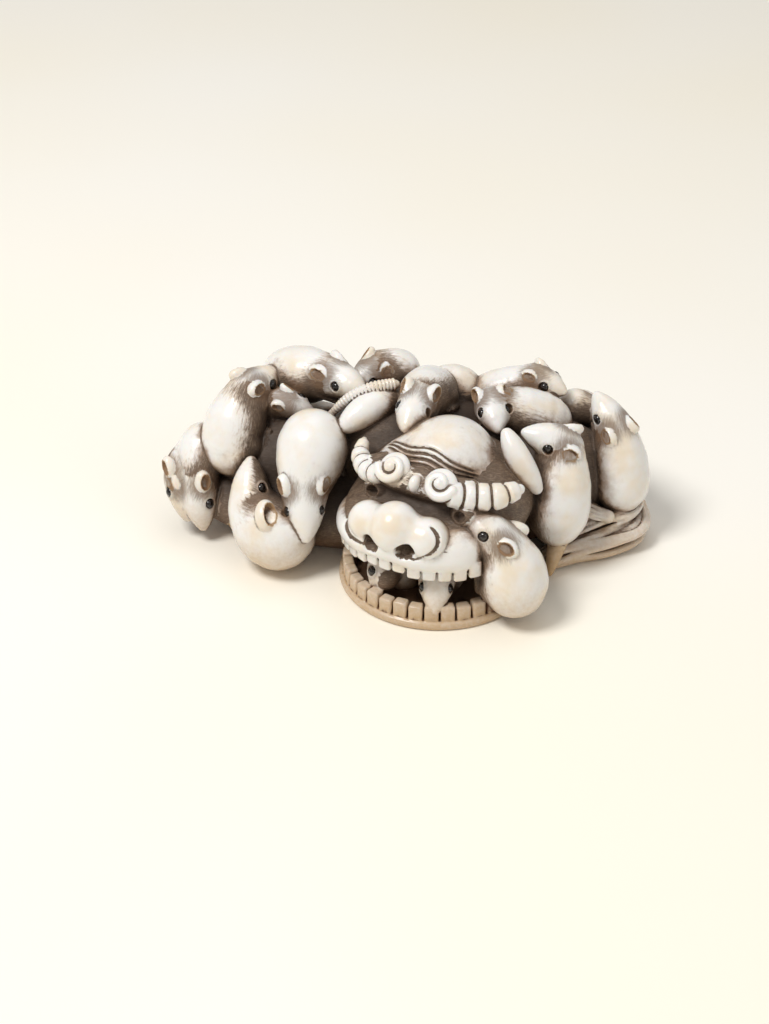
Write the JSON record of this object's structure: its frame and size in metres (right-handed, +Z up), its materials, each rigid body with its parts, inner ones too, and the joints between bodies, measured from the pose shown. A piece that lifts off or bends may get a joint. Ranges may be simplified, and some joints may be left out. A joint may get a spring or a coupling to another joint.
{
  "type": "netsuke",
  "caption": "Small carved netsuke: a swarm of plump rats overruns a lion-dance mask lying chin down on its folded cloth, with a cord passage through the underside.",
  "frame": {"origin": "middle of the underside the carving rests on", "axes": "+X along the carving's length, towards the cloth end; -Y towards the mask's open mouth; +Z up"},
  "size_m": [0.0518, 0.0314, 0.0189],
  "materials": {
    "ivory": "polished pale ivory, brown stain in the recesses",
    "black_bead": "glossy black inlay"
  },
  "bodies": {
    "root": {"ivory_carving": "ivory", "rat_01_right_eye": "black_bead", "rat_02_left_eye": "black_bead", "rat_02_right_eye": "black_bead", "rat_03_right_eye": "black_bead", "rat_04_right_eye": "black_bead", "rat_05_left_eye": "black_bead", "rat_05_right_eye": "black_bead", "rat_06_left_eye": "black_bead", "rat_07_right_eye": "black_bead", "rat_08_left_eye": "black_bead", "rat_09_right_eye": "black_bead", "rat_11_left_eye": "black_bead", "rat_11_right_eye": "black_bead", "rat_12_left_eye": "black_bead", "rat_12_right_eye": "black_bead", "rat_13_left_eye": "black_bead", "rat_14_left_eye": "black_bead", "rat_15_left_eye": "black_bead", "rat_16_right_eye": "black_bead", "rat_17_left_eye": "black_bead", "rat_17_right_eye": "black_bead", "rat_18_left_eye": "black_bead", "rat_19_left_eye": "black_bead", "rat_20_left_eye": "black_bead", "rat_20_right_eye": "black_bead", "rat_21_right_eye": "black_bead"}
  },
  "joints": []
}
